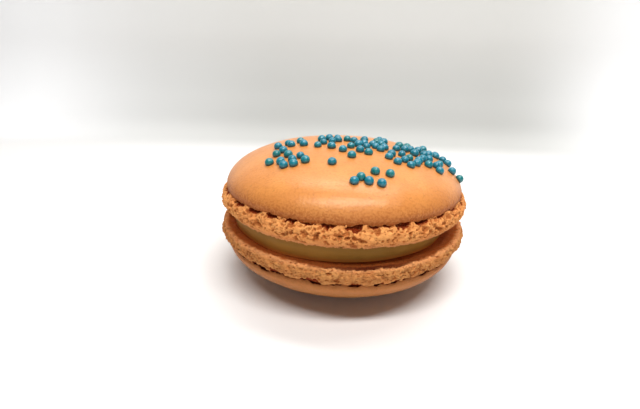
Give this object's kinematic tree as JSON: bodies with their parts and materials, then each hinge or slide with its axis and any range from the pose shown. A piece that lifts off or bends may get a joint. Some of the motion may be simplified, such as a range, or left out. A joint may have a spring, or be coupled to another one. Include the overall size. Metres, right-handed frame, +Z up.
{
  "type": "french macaron",
  "caption": "Round sandwich biscuit: smooth domed almond shells on ruffled, cracked feet, a thin layer of filling between them and ball sprinkles scattered over the top.",
  "frame": {"origin": "middle of the small flat spot under the lower dome that the macaron rests on", "axes": "+Z up through both shells, -Y towards the front seen in the picture, +X to its right"},
  "size_m": [0.0452, 0.0453, 0.0256],
  "materials": {
    "shell": "baked almond meringue crust, satin on the domes, crumbly on the feet",
    "filling": "smooth soft filling with a faint gloss",
    "sprinkles": "glazed sugar balls"
  },
  "bodies": {
    "root": {"shell_top": "shell", "filling": "filling", "shell_bottom": "shell"}
  },
  "joints": []
}
